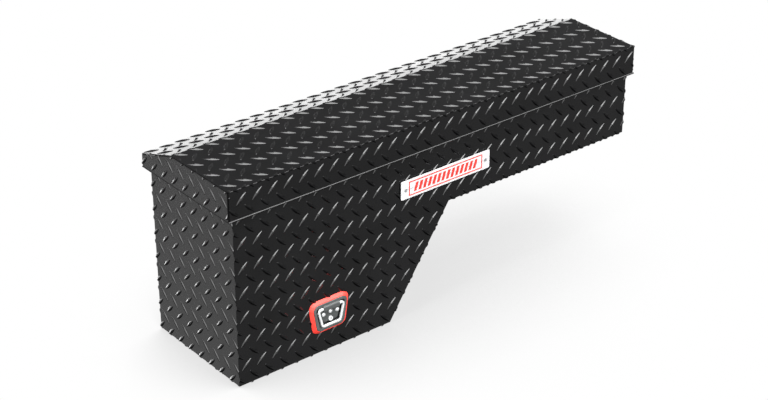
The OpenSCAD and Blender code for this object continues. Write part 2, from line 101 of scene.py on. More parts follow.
lid_low, lid_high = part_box("lid_skin")
lid_left, lid_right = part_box("lid_left_cap")[0].x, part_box("lid_right_cap")[1].x
lid_edge, lid_top = lid_low.z, lid_high.z
lid_length = lid_right - lid_left
crease = furthest("lid_skin", lambda p: p.y, lambda p: p.z > lid_top - TOUCH)
lid_back = furthest("lid_skin", lambda p: p.z, lambda p: p.y > lid_high.y - TOUCH)
flat_depth = crease.y - lid_low.y
bevel_length = (lid_back - crease).yz.length
bevel = Vector((0, lid_back.y - crease.y, lid_back.z - crease.z)).normalized()
bevel_out = Vector((0, -bevel.z, bevel.y))

lock_low, lock_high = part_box("lock_bezel")
badge_low, badge_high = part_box("badge_plate")

# ---------------------------------------------------------------- sheet sizes

# The CAD's outer faces lie at the tops of the lugs, this far in front of the plate's own surface
SINK = 2.2 * MM
SHEET = 2.0 * MM
# The lid's ends stop short of the bent skin at the sides and at the top, which leaves a groove
CAP_INSET = SINK + SHEET - 0.05 * MM
CAP_DROP = SINK + 0.9 * MM
# Rounding of the folds, which are edges between outer planes that turn by more than this (radians)
BODY_FOLD = 1.3 * MM
LID_FOLD = 0.5 * MM
FOLD_SEGMENTS = 4
FOLD_ANGLE = 0.2
# Vertices closer than this are one, and faces that turn by less than this are one flat
WELD = 0.01 * MM
FLAT_ANGLE = math.radians(0.5)
# Rounds in which a vertex on several slanted planes settles behind them all
SINK_ROUNDS = 60

# ---------------------------------------------------------------- lugs

LUG_LENGTH = 34.0 * MM
LUG_WIDTH = 7.0 * MM
LUG_HEIGHT = 2.15 * MM
# Stretches that a lug is made of along its length
LUG_STEPS = 8
# Powers by which a lug narrows and gets lower towards its tips
NARROWING = 1.7
LOWERING = 1.3
# How far a lug reaches into the sheet
LUG_FOOT = 1.2 * MM
# Across a lug: share of the half width and share of the height, where -1 is the foot
LUG_SECTION = (
    (-1, -1), (-1, 0), (-0.55, 0.62), (-0.12, 0.97), (0.12, 0.97), (0.55, 0.62), (1, 0), (1, -1)
)
LUG_TURNS = (math.radians(45), math.radians(-45))
# Edges that turn by more than this are drawn sharp, on a lug and on a sheet
LUG_EDGE_ANGLE = math.radians(5)
SHEET_EDGE_ANGLE = math.radians(35)
# Lattice of each row family, along u and v
BODY_PITCH = (31.3 * MM, 46.8 * MM)
END_PITCH = (31.15 * MM, 46.7 * MM)
LID_PITCH = (31.15 * MM, 46.5 * MM)


def lug_shape():
    """One roof-shaped lug: points (along, across, height) and faces, the foot's face last."""
    points = [(-LUG_LENGTH / 2, 0.0, -LUG_FOOT)]
    for i in range(1, LUG_STEPS):
        t = -1 + 2 * i / LUG_STEPS
        wide = LUG_WIDTH / 2 * (1 - abs(t) ** NARROWING)
        high = LUG_HEIGHT * (1 - abs(t) ** LOWERING)
        for share, rise in LUG_SECTION:
            z = -LUG_FOOT if rise < 0 else high * rise
            points.append((t * LUG_LENGTH / 2, share * wide, z))
    points.append((LUG_LENGTH / 2, 0.0, -LUG_FOOT))
    row = len(LUG_SECTION)
    tip = len(points) - 1
    starts = [1 + i * row for i in range(LUG_STEPS - 1)]
    faces = []
    for k in range(row - 1):
        faces.append((0, starts[0] + k + 1, starts[0] + k))
        faces.append((tip, starts[-1] + k, starts[-1] + k + 1))
    for a, b in zip(starts, starts[1:]):
        for k in range(row - 1):
            faces.append((a + k, a + k + 1, b + k + 1, b + k))
    faces.append(tuple([0] + [a + row - 1 for a in starts] + [tip] + starts[::-1]))
    return points, faces


LUG_POINTS, LUG_FACES = lug_shape()


def crosses(p, q, a, b):
    """Whether segment pq crosses segment ab in the plane."""
    def side(o, d, r):
        return (d[0] - o[0]) * (r[1] - o[1]) - (d[1] - o[1]) * (r[0] - o[0])
    return side(a, b, p) * side(a, b, q) < 0 and side(p, q, a) * side(p, q, b) < 0


def inside(p, outline):
    """Whether a point lies in a closed outline."""
    hit = False
    for i, a in enumerate(outline):
        b = outline[i - 1]
        if (a[1] > p[1]) != (b[1] > p[1]):
            if p[0] < (b[0] - a[0]) * (p[1] - a[1]) / (b[1] - a[1]) + a[0]:
                hit = not hit
    return hit


class TreadFace:
    """A flat stretch of tread plate: where it lies, its outline, and where its two rows of lugs start."""

    def __init__(self, origin, u, v, outline, slash, backslash, pitch=BODY_PITCH):
        self.origin = Vector(origin)
        self.u = Vector(u).normalized()
        self.v = Vector(v).normalized()
        self.normal = self.u.cross(self.v)
        self.outline = outline
        self.starts = (slash, backslash)
        self.pitch = pitch

    def place(self, p):
        """A point (u, v, height) of this face in the row frame."""
        return self.origin + self.u * p[0] + self.v * p[1] + self.normal * p[2]

    def centres(self, start):
        """Every lattice point of one row family that could touch the outline."""
        spans = []
        for axis in (0, 1):
            low = min(p[axis] for p in self.outline) - start[axis]
            high = max(p[axis] for p in self.outline) - start[axis]
            pitch = self.pitch[axis]
            steps = range(math.floor(low / pitch) - 1, math.ceil(high / pitch) + 2)
            spans.append([start[axis] + k * pitch for k in steps])
        return [(u, v) for v in spans[1] for u in spans[0]]

    def lug(self, centre, turn):
        """The lug at a lattice point, cut at the outline; nothing where it lies outside."""
        c, s = math.cos(turn), math.sin(turn)
        u, v = centre
        points = [(u + a * c - w * s, v + a * s + w * c, h) for a, w, h in LUG_POINTS]
        rim = [points[k] for k in LUG_FACES[-1]]
        crossed = [
            (a, b) for a, b in zip(self.outline, self.outline[1:] + self.outline[:1])
            if any(crosses(rim[k - 1], rim[k], a, b) for k in range(len(rim)))
        ]
        if crossed:
            return cut_lug(points, crossed)
        if inside(centre, self.outline):
            return points, LUG_FACES
        return [], []

    def lugs(self):
        """Points and faces of every lug on this face, in the row frame."""
        points, faces = [], []
        for start, turn in zip(self.starts, LUG_TURNS):
            for centre in self.centres(start):
                lug, lug_faces = self.lug(centre, turn)
                base = len(points)
                points += [self.place(p) for p in lug]
                faces += [tuple(base + k for k in f) for f in lug_faces]
        return points, faces


def cut_lug(points, edges):
    """A lug cut off square at each outline edge that it crosses."""
    mesh = bmesh.new()
    made = [mesh.verts.new(p) for p in points]
    for f in LUG_FACES:
        mesh.faces.new([made[i] for i in f])
    for a, b in edges:
        outward = Vector((b[1] - a[1], a[0] - b[0], 0)).normalized()
        geometry = mesh.verts[:] + mesh.edges[:] + mesh.faces[:]
        cut = bmesh.ops.bisect_plane(
            mesh, geom=geometry, plane_co=(a[0], a[1], 0), plane_no=outward, clear_outer=True
        )
        rim = [e for e in cut["geom_cut"] if isinstance(e, bmesh.types.BMEdge)]
        bmesh.ops.holes_fill(mesh, edges=rim)
    mesh.verts.index_update()
    kept = [v.co.copy() for v in mesh.verts]
    faces = [tuple(v.index for v in f.verts) for f in mesh.faces]
    mesh.free()
    return kept, faces


# ---------------------------------------------------------------- tread panels


def sink_step(near):
    """The smallest move that lies the asked depth behind each of up to three outer planes."""
    step = Vector((0, 0, 0))
    for _ in range(SINK_ROUNDS):
        for normal, depth in near:
            step -= normal * (step.dot(normal) + depth)
    return step


def sunk_sheet(nodes, planes):
    """CAD panels as one sheet whose outer faces are sunk to the plate's own surface, and its folds."""
    mesh = bmesh.new()
    for node in nodes:
        mesh.from_mesh(frame["nodes"][node].data)
        bmesh.ops.remove_doubles(mesh, verts=mesh.verts, dist=WELD)
        bmesh.ops.dissolve_limit(mesh, angle_limit=FLAT_ANGLE, verts=mesh.verts, edges=mesh.edges)
    shared = [f for f in mesh.faces if all(len(e.link_faces) > 2 for e in f.edges)]
    bmesh.ops.delete(mesh, geom=shared, context="FACES_ONLY")
    outer = {}
    for v in mesh.verts:
        near = [(n, depth) for p, n, depth in planes if abs((v.co - p).dot(n)) < TOUCH]
        outer[v] = len(near)
        v.co += sink_step(near)
    folds = [
        e for e in mesh.edges
        if all(outer[v] >= 2 for v in e.verts) and e.calc_face_angle(0) >= FOLD_ANGLE
    ]
    return mesh, folds


def finish_mesh(name, mesh, material, body):
    """A mesh object from a bmesh, with its sharp edges kept, that rides on a body."""
    mesh.normal_update()
    for e in mesh.edges:
        lug = all(f.tag for f in e.link_faces)
        limit = LUG_EDGE_ANGLE if lug else SHEET_EDGE_ANGLE
        e.smooth = e.calc_face_angle(0) < limit
    for f in mesh.faces:
        f.smooth = True
    data = bpy.data.meshes.new(name)
    mesh.to_mesh(data)
    mesh.free()
    piece = bpy.data.objects.new(name, data)
    scene.collection.objects.link(piece)
    piece.data.materials.append(material)
    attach(piece, body)
    return piece


def tread_panel(name, nodes, body, planes, faces, fold_radius):
    """A tread-plate panel that stands for CAD nodes: sunk sheet, rounded folds, and its lugs."""
    mesh, folds = sunk_sheet(nodes, planes)
    bmesh.ops.bevel(
        mesh, geom=folds, offset=fold_radius, segments=FOLD_SEGMENTS, profile=0.5, affect="EDGES",
        clamp_overlap=True
    )
    for face in faces:
        points, lug_faces = face.lugs()
        made = [mesh.verts.new(p) for p in points]
        for f in lug_faces:
            mesh.faces.new([made[i] for i in f]).tag = True
    bmesh.ops.recalc_face_normals(mesh, faces=mesh.faces)
    piece = finish_mesh(name, mesh, POWDER, body)
    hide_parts(*nodes)


# ---------------------------------------------------------------- materials


def new_material(name):
    """A node material, its nodes and links, and its Principled shader."""
    material = bpy.data.materials.new(name)
    material.use_nodes = True
    nodes = material.node_tree.nodes
    return material, nodes, material.node_tree.links, nodes["Principled BSDF"]


def object_noise(nodes, links, scale, detail):
    """A noise pattern fixed to the object."""
    where = nodes.new("ShaderNodeTexCoord")
    noise = nodes.new("ShaderNodeTexNoise")
    noise.inputs["Scale"].default_value = scale
    noise.inputs["Detail"].default_value = detail
    links.new(where.outputs["Object"], noise.inputs["Vector"])
    return noise.outputs["Fac"]


def rgba(value):
    """An opaque colour from a colour or a grey."""
    return (*value, 1) if isinstance(value, tuple) else (value, value, value, 1)


def ramp(nodes, links, source, low, high):
    """A colour ramp between two colours or greys over the middle of a noise pattern."""
    node = nodes.new("ShaderNodeValToRGB")
    for stop, place, value in zip(node.color_ramp.elements, (0.3, 0.7), (low, high)):
        stop.position = place
        stop.color = rgba(value)
    links.new(source, node.inputs["Fac"])
    return node.outputs["Color"]


def bump(nodes, links, shader, source, strength, distance):
    """Relief on a shader from a grey pattern."""
    node = nodes.new("ShaderNodeBump")
    node.inputs["Strength"].default_value = strength
    node.inputs["Distance"].default_value = distance
    links.new(source, node.inputs["Height"])
    links.new(node.outputs["Normal"], shader.inputs["Normal"])


def powder_coat():
    """Satin black powder coat: fine orange peel, faint colour and gloss variation."""
    material, nodes, links, shader = new_material("black_powder_coat")
    fine = object_noise(nodes, links, 900, 2)
    broad = object_noise(nodes, links, 14, 4)
    colour = ramp(nodes, links, broad, (0.0016, 0.0016, 0.0017), (0.0028, 0.0028, 0.003))
    links.new(colour, shader.inputs["Base Color"])
    links.new(ramp(nodes, links, broad, 0.19, 0.235), shader.inputs["Roughness"])
    bump(nodes, links, shader, fine, 0.12, 0.2 * MM)
    return material


def plain(name, low, high, rough, metal=0.0, scale=40, grain=700, relief=0.1, coat=0.0, specular=0.5):
    """A moulded, painted or metal finish with varied colour, varied gloss and a fine grain."""
    material, nodes, links, shader = new_material(name)
    shader.inputs["Metallic"].default_value = metal
    shader.inputs["Coat Weight"].default_value = coat
    shader.inputs["Specular IOR Level"].default_value = specular
    broad = object_noise(nodes, links, scale, 4)
    links.new(ramp(nodes, links, broad, low, high), shader.inputs["Base Color"])
    links.new(ramp(nodes, links, broad, *rough), shader.inputs["Roughness"])
    bump(nodes, links, shader, object_noise(nodes, links, grain, 2), relief, 0.1 * MM)
    return material


POWDER = powder_coat()
RUBBER = plain("seal_rubber", 0.010, 0.018, (0.6, 0.8), grain=400, relief=0.2)
WHITE = plain(
    "badge_white", (0.42, 0.42, 0.425), (0.445, 0.445, 0.445), (0.22, 0.3), grain=900, relief=0.02,
    coat=0.3
)
PRINT = plain("badge_red", (0.38, 0.024, 0.018), (0.43, 0.032, 0.024), (0.3, 0.4), grain=900, relief=0.02)
RED = plain(
    "bezel_red", (0.62, 0.036, 0.026), (0.70, 0.05, 0.036), (0.42, 0.5), grain=900, relief=0.04,
    specular=0.35
)
GREY = plain(
    "frame_grey", (0.042, 0.0455, 0.045), (0.058, 0.062, 0.061), (0.38, 0.5), grain=1500, relief=0.15
)
GRAIN = plain(
    "face_grey", (0.022, 0.024, 0.024), (0.052, 0.057, 0.056), (0.45, 0.6), scale=900, grain=1400,
    relief=0.4
)
BLACK = plain(
    "moulded_black", (0.010, 0.010, 0.011), (0.02, 0.02, 0.021), (0.4, 0.55), grain=1500, relief=0.12
)
BAIL = plain("bail_satin", (0.52, 0.53, 0.535), (0.60, 0.61, 0.61), (0.3, 0.4), metal=0.35, relief=0.03)
ZINC = plain("zinc_steel", (0.42, 0.43, 0.45), (0.60, 0.61, 0.63), (0.28, 0.42), metal=1.0, relief=0.06)
RIVET = plain("rivet_metal", (0.24, 0.24, 0.245), (0.34, 0.34, 0.345), (0.3, 0.42), metal=0.5, relief=0.04)
BLACK_STEEL = plain("black_steel", (0.012, 0.012, 0.013), (0.022, 0.022, 0.023), (0.3, 0.42), relief=0.08)
NYLON = plain("white_nylon", (0.62, 0.62, 0.58), (0.74, 0.74, 0.70), (0.4, 0.5), relief=0.05)
MILL = plain("mill_aluminium", (0.48, 0.49, 0.51), (0.62, 0.63, 0.65), (0.3, 0.45), metal=1.0, relief=0.06)
BRASS = plain("brass_piston", (0.60, 0.42, 0.15), (0.72, 0.52, 0.22), (0.25, 0.35), metal=1.0, relief=0.04)

SLOT_MATERIAL = {
    "black_tread": POWDER, "black_steel": BLACK_STEEL, "seal_rubber": RUBBER, "badge_white": WHITE,
    "rivet_metal": RIVET, "red_plastic": RED, "grey_plastic": GREY, "black_plastic": BLACK,
    "bright_metal": BAIL, "chrome_handle": BAIL, "zinc_steel": ZINC, "mill_aluminium": MILL,
    "white_nylon": NYLON, "brass_piston": BRASS,
}
ROUND_WIDTH = 0.25 * MM
ROUND_SEGMENTS = 2
ROUND_ANGLE = math.radians(40)


def finish_cad_nodes():
    """Each CAD node gets the finish of its slot and a small round on its edges."""
    for part in frame["record"]["subparts"]:
        node = frame["nodes"][part["node"]]
        node.data.materials.clear()
        node.data.materials.append(SLOT_MATERIAL[part["material_slot"]])
        weld = node.modifiers.new("weld", "WELD")
        weld.merge_threshold = WELD
        edge = node.modifiers.new("edge", "BEVEL")
        edge.width = ROUND_WIDTH
        edge.segments = ROUND_SEGMENTS
        edge.limit_method = "ANGLE"
        edge.angle_limit = ROUND_ANGLE


finish_cad_nodes()

# ---------------------------------------------------------------- the body's panels

# Lugs are cut off this far inside the CAD's edges, where the sunk sheet ends
EDGE = SINK
# How far below the top edge of the front, the back and the ends the lugs are cut off
FRONT_GAP, BACK_GAP, END_GAP = 2 * MM, 8 * MM, 12 * MM

# Where one lug of each row lies: from a panel's edge at the viewer's left and up from the floor, or
# on the underside along the flat and from its front edge
FRONT_SLASH = (18.5 * MM, lid_edge - 49.4 * MM)
FRONT_BACKSLASH = (34.2 * MM, lid_edge - 26.1 * MM)
END_SLASH = (36.3 * MM, lid_edge - 32.6 * MM)
END_BACKSLASH = (20.9 * MM, lid_edge - 56.4 * MM)
FLOOR_SLASH = (8 * MM, -20 * MM)
FLOOR_BACKSLASH = (23.6 * MM, -43.4 * MM)

# Outer planes of the body: a point, the outward normal, and how far the sheet lies behind
BODY_PLANES = [
    (point, normal, SINK) for point, normal in (
        (front_low, -Y), (back_high, Y), (front_low, -X), (front_high, X), (front_low, -Z),
        (deep_end, slope_out), (slope_end, -Z)
    )
]


def rectangle(low_u, high_u, low_v, high_v):
    """A rectangle's corners, anticlockwise."""
    return [(low_u, low_v), (high_u, low_v), (high_u, high_v), (low_u, high_v)]


def mirrored(outline, width):
    """The same outline seen from the other side."""
    return [(width - u, v) for u, v in reversed(outline)]


def side_outline(top):
    """Outline of a long side from the front, as (distance from the left end, height)."""
    back_off = EDGE * math.tan(math.atan2(slope.z, slope.x) / 2)
    right = body_length - EDGE
    return [
        (EDGE, EDGE), (deep_end.x - body_left - back_off, EDGE),
        (slope_end.x - body_left - back_off, shallow_z + EDGE), (right, shallow_z + EDGE),
        (right, top), (EDGE, top)
    ]


def end_outline(floor_z):
    """Outline of a body end above its floor, as (distance across, height)."""
    return rectangle(EDGE, body_depth - EDGE, floor_z + EDGE, back_high.z - END_GAP)


def underside(start, along, length):
    """Tread on the outside of one flat of the floor strip, which runs from start for a length."""
    out = Vector((along.z, 0, -along.x))
    outline = rectangle(EDGE, length - EDGE, -body_depth + EDGE, -EDGE)
    return TreadFace(start - out * SINK, along, -Y, outline, FLOOR_SLASH, FLOOR_BACKSLASH)


front_face = TreadFace(
    (body_left, body_front + SINK, 0), X, Z, side_outline(front_high.z - FRONT_GAP),
    FRONT_SLASH, FRONT_BACKSLASH
)
back_face = TreadFace(
    (body_right, body_back - SINK, 0), -X, Z, mirrored(side_outline(back_high.z - BACK_GAP), body_length),
    FRONT_SLASH, FRONT_BACKSLASH
)
left_face = TreadFace(
    (body_left + SINK, body_back, 0), -Y, Z, end_outline(0), END_SLASH, END_BACKSLASH, END_PITCH
)
right_face = TreadFace(
    (body_right - SINK, body_front, 0), Y, Z, end_outline(shallow_z), END_SLASH, END_BACKSLASH, END_PITCH
)
floor_faces = [
    underside(Vector((body_left, body_front, 0)), X, deep_end.x - body_left),
    underside(Vector((deep_end.x, body_front, 0)), slope, (slope_end - deep_end).xz.length),
    underside(Vector((slope_end.x, body_front, shallow_z)), X, body_right - slope_end.x),
]

tread_panel("front_tread_panel", ["front_panel"], "box", BODY_PLANES, [front_face], BODY_FOLD)
tread_panel("back_tread_panel", ["back_panel"], "box", BODY_PLANES, [back_face], BODY_FOLD)
tread_panel("left_tread_end", ["left_end_panel"], "box", BODY_PLANES, [left_face], BODY_FOLD)
tread_panel("right_tread_end", ["right_end_panel"], "box", BODY_PLANES, [right_face], BODY_FOLD)
tread_panel("tread_floor", ["floor_strip"], "box", BODY_PLANES, floor_faces, BODY_FOLD)

# ---------------------------------------------------------------- the lid's panels

# How far inside the lid's ends, above its lower edge and off its crease the lugs are cut off
LID_SIDE_GAP = 2 * EDGE
HEM_GAP, CAP_HEM_GAP = 3 * MM, 2 * MM
CREASE_GAP = 1 * MM

# Where one lug of each row lies: from the edge at the viewer's left, and by height, or by distance
# from the front edge on top and from the crease on the bevel
LID_FRONT_SLASH = (27.9 * MM, lid_top - 22.0 * MM)
LID_FRONT_BACKSLASH = (44.2 * MM, lid_top - 44.2 * MM)
TOP_SLASH = (31.9 * MM, flat_depth - 27.6 * MM)
TOP_BACKSLASH = (17.0 * MM, flat_depth - 5.3 * MM)
BEVEL_SLASH = (TOP_SLASH[0], 19.3 * MM)
BEVEL_BACKSLASH = (TOP_BACKSLASH[0], 41.6 * MM)
CAP_SLASH = (10.7 * MM, lid_top - 44.4 * MM)
CAP_BACKSLASH = (27.8 * MM, lid_top - 23.0 * MM)


def lid_planes(depth, top_depth):
    """The lid's outer planes, with depths for those that the bent skin covers."""
    return [
        (lid_low, -Y, depth), (crease, bevel_out, depth), (lid_high, Y, depth), (lid_high, Z, top_depth),
        (X * lid_left, -X, SINK), (X * lid_right, X, SINK)
    ]


def skin_outline(low, high):
    """Outline of one flat of the lid's skin, as (distance from the left end, distance up it)."""
    return rectangle(LID_SIDE_GAP, lid_length - LID_SIDE_GAP, low, high)


def cap_outline():
    """Outline of the right end of the lid, as (distance from its front, height)."""
    width = lid_high.y - lid_low.y
    low, high = lid_edge + CAP_HEM_GAP, lid_top - CAP_DROP
    return [
        (CAP_INSET, low), (width - CAP_INSET, low), (width - CAP_INSET, lid_back.z - CAP_INSET),
        (flat_depth, high), (CAP_INSET, high)
    ]


lid_front_face = TreadFace(
    (lid_left, lid_low.y + SINK, 0), X, Z, skin_outline(lid_edge + HEM_GAP, lid_top - EDGE),
    LID_FRONT_SLASH, LID_FRONT_BACKSLASH, LID_PITCH
)
lid_top_face = TreadFace(
    (lid_left, lid_low.y, lid_top - SINK), X, Y, skin_outline(EDGE, flat_depth - CREASE_GAP),
    TOP_SLASH, TOP_BACKSLASH, LID_PITCH
)
bevel_face = TreadFace(
    Vector((lid_left, crease.y, crease.z)) - bevel_out * SINK, X, bevel,
    skin_outline(CREASE_GAP, bevel_length - EDGE), BEVEL_SLASH, BEVEL_BACKSLASH, LID_PITCH
)
left_cap_face = TreadFace(
    (lid_left + SINK, lid_high.y, 0), -Y, Z, mirrored(cap_outline(), lid_high.y - lid_low.y),
    CAP_SLASH, CAP_BACKSLASH, LID_PITCH
)
right_cap_face = TreadFace(
    (lid_right - SINK, lid_low.y, 0), Y, Z, cap_outline(), CAP_SLASH, CAP_BACKSLASH, LID_PITCH
)

skin_planes = lid_planes(SINK, SINK)
skin_faces = [lid_front_face, lid_top_face, bevel_face]
cap_planes = lid_planes(CAP_INSET, CAP_DROP)
tread_panel("lid_tread_skin", ["lid_skin", "lid_back_flange"], "lid", skin_planes, skin_faces, LID_FOLD)
tread_panel("lid_tread_left_cap", ["lid_left_cap"], "lid", cap_planes, [left_cap_face], BODY_FOLD)
tread_panel("lid_tread_right_cap", ["lid_right_cap"], "lid", cap_planes, [right_cap_face], BODY_FOLD)

# ---------------------------------------------------------------- lofted pieces


def loft(name, rings, material, body, closed=False):
    """A piece skinned over rings of equally many points; closed joins the last ring to the first."""
    mesh = bmesh.new()
    made = [[mesh.verts.new(p) for p in ring] for ring in rings]
    count = len(rings[0])
    pairs = list(zip(made, made[1:]))
    if closed:
        pairs.append((made[-1], made[0]))
    else:
        mesh.faces.new(made[0])
        mesh.faces.new(list(reversed(made[-1])))
    for a, b in pairs:
        for k in range(count):
            mesh.faces.new((a[k], a[(k + 1) % count], b[(k + 1) % count], b[k]))
    bmesh.ops.recalc_face_normals(mesh, faces=mesh.faces)
    return finish_mesh(name, mesh, material, body)


def circle_ring(centre, u, v, radius, count):
    """Points round a circle in the plane of u and v."""
    turns = [2 * math.pi * k / count for k in range(count)]
    return [centre + (u * math.cos(t) + v * math.sin(t)) * radius for t in turns]


# ---------------------------------------------------------------- hem of the lid

HEM_RADIUS = 1.5 * MM
SIDE_HEM_RADIUS = 0.8 * MM
HEM_POINTS = 16
hem_left, hem_right = lid_left + SINK, lid_right - SINK
hem_front, hem_back = lid_low.y + SINK, lid_high.y - CAP_INSET


def hem_bead(name, start, end, radius):
    """A rolled bead along the lower edge of one side of the lid, from start to end."""
    across = (end - start).normalized().cross(Z)
    rings = [circle_ring(p + Z * radius, across, Z, radius, HEM_POINTS) for p in (start, end)]
    loft(name, rings, POWDER, "lid")


def lid_hems():
    """The hem along the front of the lid and the finer ones along its ends."""
    corners = [Vector((x, hem_front, lid_edge)) for x in (hem_left, hem_right)]
    hem_bead("lid_hem_bead", *corners, HEM_RADIUS)
    for side, corner in zip(("left", "right"), corners):
        hem_bead("lid_hem_%s" % side, corner, Vector((corner.x, hem_back, lid_edge)), SIDE_HEM_RADIUS)


lid_hems()

# ---------------------------------------------------------------- lock

LOCK = Vector(((lock_low.x + lock_high.x) / 2, body_front, (lock_low.z + lock_high.z) / 2))
CORNER_STEPS = 6

# Rings of the lock's pieces, in millimetres: width at the top, width at the bottom, height, corner
# radius, and how far the ring stands out of the CAD's front face
BEZEL_RINGS = (
    (88.4, 70, 65.6, 14, -3.0), (88.4, 70, 65.6, 14, -1.9), (87.6, 69.2, 64.8, 13.6, -1.2),
    (78.4, 61.0, 56.6, 11.2, 2.6), (76.8, 59.6, 55.2, 10.8, 3.0), (75.4, 58.5, 54.0, 10.4, 2.9),
    (74.8, 58.1, 53.6, 10.3, 2.4), (74.8, 58.1, 53.6, 10.3, -1.6), (84, 66, 61, 12, -3.0)
)
FRAME_RINGS = (
    (74.2, 57.5, 53, 10, 0.6), (74.2, 57.5, 53, 10, 3.3), (73.6, 57.0, 52.4, 9.8, 3.8),
    (72.6, 56.2, 51.6, 9.4, 3.9), (64.4, 47.6, 43.6, 6.0, 3.9), (63.2, 46.5, 42.4, 5.5, 3.5),
    (62, 45.5, 41.2, 5, 2.5), (62, 45.5, 41.2, 5, -6), (66, 49.5, 45.5, 6.5, -6),
    (66, 49.5, 45.5, 6.5, 0.6)
)
FACE_RINGS = (
    (45, 31, 24, 5, -0.6), (45, 31, 24, 5, 1.5), (44.4, 30.4, 23.4, 4.7, 1.9), (43.4, 29.4, 22.4, 4.2, 2.0)
)
# Middle of the bail's bar, as such a ring
BAIL_MIDDLE = (54.9, 38, 34.4, 4.5, 4.95)

# Hood over the handle's axle: half its length, and its outline as (distance out, height)
HOOD_REACH = 17.0
HOOD_OUTLINE = (
    (0.8, 22.2), (5.6, 22.2), (7.0, 21.7), (7.6, 20.8), (7.8, 19.8), (7.8, 13.8), (6.1, 13.8),
    (6.1, 19.2), (5.8, 19.5), (0.8, 19.5)
)

# The bail's bar, where its two ends stop under the hood, and the axle's place, reach and radius
BAR_WIDTH, BAR_DEPTH = 4.4 * MM, 3.5 * MM
BAR_POINTS = 12
BAR_SQUARENESS = 0.6
BAIL_STOP = 17.3 * MM
AXLE = LOCK + Vector((0, -3.2, 16.3)) * MM
AXLE_REACH, AXLE_RADIUS, AXLE_POINTS = 24 * MM, 2.6 * MM, 20

# The tab: its outline as (x, z) and its two ends in Y, all from the axle
TAB_OUTLINE = (
    (-5, -0.9), (-4.4, -1.2), (4.4, -1.2), (5, -0.9), (5, 0.9), (4.4, 1.2), (-4.4, 1.2), (-5, 0.9)
)
TAB_ENDS = (-1.0, 16.4)

# Screw heads: their (x, z) from the lock's centre, and their domed profile as (radius, distance out)
SCREW_PLACES = ((-14.7, 4), (0, 6.3), (14.7, 4))
SCREW_PROFILE = ((3.6, 1.6), (3.6, 2.6), (3.3, 3.4), (2.5, 4.0), (1.2, 4.3))
SCREW_POINTS = 24


def lock_outline(top, bottom, high, radius, out):
    """A rounded trapezium about the lock's centre, from its lower left corner anticlockwise."""
    corners = [(-bottom / 2, -high / 2), (bottom / 2, -high / 2), (top / 2, high / 2), (-top / 2, high / 2)]
    points = []
    for i, corner in enumerate(corners):
        b = Vector(corner)
        u = (Vector(corners[i - 1]) - b).normalized()
        v = (Vector(corners[(i + 1) % 4]) - b).normalized()
        half = u.angle(v) / 2
        centre = b + (u + v).normalized() * radius / math.sin(half)
        start = b + u * radius / math.tan(half) - centre
        end = b + v * radius / math.tan(half) - centre
        for k in range(CORNER_STEPS + 1):
            p = start.lerp(end, k / CORNER_STEPS).normalized() * radius + centre
            points.append(LOCK + Vector((p.x, -out, p.y)) * MM)
    return points


def lock_bezel():
    """The red bezel: a sloped ring that rises from the plate to the frame."""
    rings = [lock_outline(*ring) for ring in BEZEL_RINGS]
    piece = loft("lock_bezel_ring", rings, RED, "box", closed=True)
    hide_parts("lock_bezel")


def lock_frame():
    """The grey frame: a rounded flange, a deep opening, and the hood over the handle's axle."""
    rings = [lock_outline(*ring) for ring in FRAME_RINGS]
    piece = loft("lock_frame_ring", rings, GREY, "box", closed=True)
    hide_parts("lock_frame")
    ends = [
        [LOCK + Vector((x, -out, z)) * MM for out, z in HOOD_OUTLINE] for x in (-HOOD_REACH, HOOD_REACH)
    ]
    loft("lock_frame_hood", ends, GREY, "box")


def bar_section(centre, across):
    """A rounded bar's cross-section, its width along across and its depth along Y."""
    points = []
    for k in range(BAR_POINTS):
        t = 2 * math.pi * (k + 0.5) / BAR_POINTS
        c, s = math.cos(t), math.sin(t)
        x = math.copysign(abs(c) ** BAR_SQUARENESS, c) * BAR_WIDTH / 2
        y = math.copysign(abs(s) ** BAR_SQUARENESS, s) * BAR_DEPTH / 2
        points.append(centre + across * x + Y * y)
    return points


def bail_path():
    """The middle of the bail's bar: out from under the hood, down the left, across and up again."""
    outline = lock_outline(*BAIL_MIDDLE)
    corner = CORNER_STEPS + 1
    path = outline[-corner:] + outline[:-corner]
    top = max(p.z for p in path)
    start, end = [Vector((LOCK.x + x, path[0].y, top)) for x in (-BAIL_STOP, BAIL_STOP)]
    return [start] + path + [end]


def pull_handle():
    """The bright bail, open at the top where the hood covers its axle, and its tab into the box."""
    path = bail_path()
    rings = []
    for i, p in enumerate(path):
        along = path[min(i + 1, len(path) - 1)] - path[max(i - 1, 0)]
        rings.append(bar_section(p, along.normalized().cross(Y).normalized()))
    piece = loft("pull_handle_bail", rings, BAIL, "handle")
    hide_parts("pull_handle")
    ends = [
        circle_ring(AXLE + X * x, Y, Z, AXLE_RADIUS, AXLE_POINTS) for x in (-AXLE_REACH, AXLE_REACH)
    ]
    loft("pull_handle_axle", ends, BAIL, "handle")
    slabs = [[AXLE + Vector((x, y, z)) * MM for x, z in TAB_OUTLINE] for y in TAB_ENDS]
    loft("pull_handle_tab", slabs, BAIL, "handle")


def screw_head(number, x, z):
    """One domed screw head on the lock's face."""
    rings = []
    for radius, out in SCREW_PROFILE:
        centre = LOCK + Vector((x, -out, z)) * MM
        rings.append(circle_ring(centre, X, Z, radius * MM, SCREW_POINTS))
    return loft("lock_screw_head_%d" % number, rings, BAIL, "box")


def lock_face():
    """The grained face plate and its three screw heads."""
    rings = [lock_outline(*ring) for ring in FACE_RINGS]
    piece = loft("lock_face", rings, GRAIN, "box")
    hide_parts("lock_face_plate")
    heads = [screw_head(i + 1, x, z) for i, (x, z) in enumerate(SCREW_PLACES)]
    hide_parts("lock_face_screws")


lock_bezel()
lock_frame()
pull_handle()
lock_face()

# ---------------------------------------------------------------- badge print

